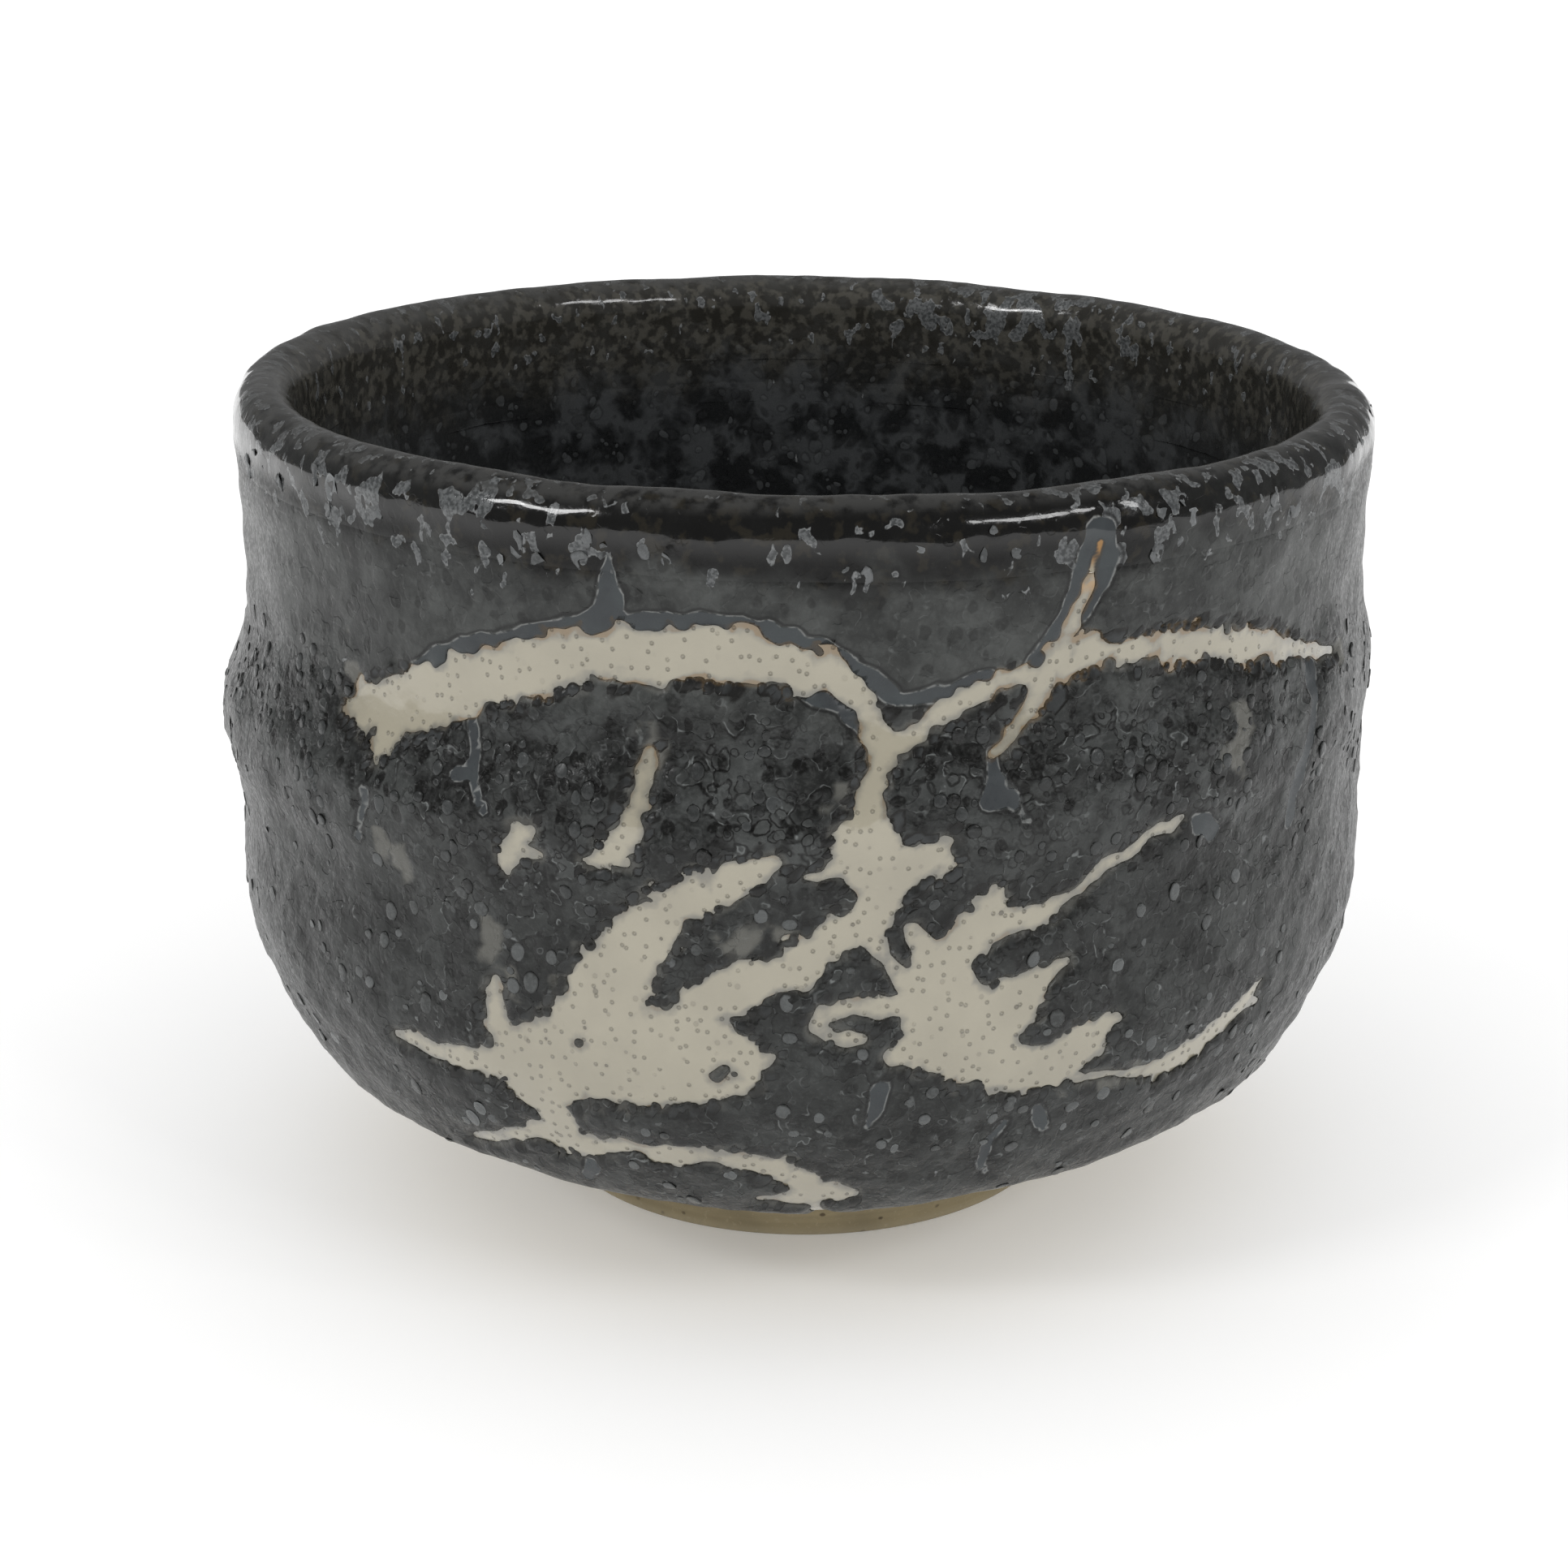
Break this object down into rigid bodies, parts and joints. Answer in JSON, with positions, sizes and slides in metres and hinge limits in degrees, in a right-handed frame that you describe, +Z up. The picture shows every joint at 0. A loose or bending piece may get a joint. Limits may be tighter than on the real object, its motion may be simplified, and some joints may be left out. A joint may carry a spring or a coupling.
{
  "type": "matcha bowl",
  "caption": "Hand-thrown matcha tea bowl: upright belted wall on a low foot ring, dark glaze with pale wax-resist brush marks.",
  "frame": {"origin": "on the table at the middle of the bowl, under its foot ring", "axes": "+Z up along the bowl's height; the brushed side faces -Y, with +X to the right of someone looking at it"},
  "size_m": [0.1209, 0.1204, 0.087],
  "materials": {
    "clay": "bare fired stoneware, khaki beige, matt and slightly gritty",
    "foot_clay": "bare fired stoneware, turned, matt, rubbed paler on the standing edge",
    "ground_glaze": "warm cream semi-gloss glaze with fine pinholes, shows in the brush marks",
    "outer_glaze": "charcoal glaze mottled blue-grey and brown-black, glossy and slightly bumpy",
    "inner_glaze": "charcoal lining glaze with blurred grey mottling, glossy",
    "lip_glaze": "near-black glossy band over the lip with silver-grey crystal spots"
  },
  "bodies": {
    "root": {"clay_body": "clay", "foot_ring": "foot_clay", "ground_glaze": "ground_glaze", "outer_glaze": "outer_glaze", "inner_glaze": "inner_glaze", "lip_glaze": "lip_glaze"}
  },
  "joints": []
}
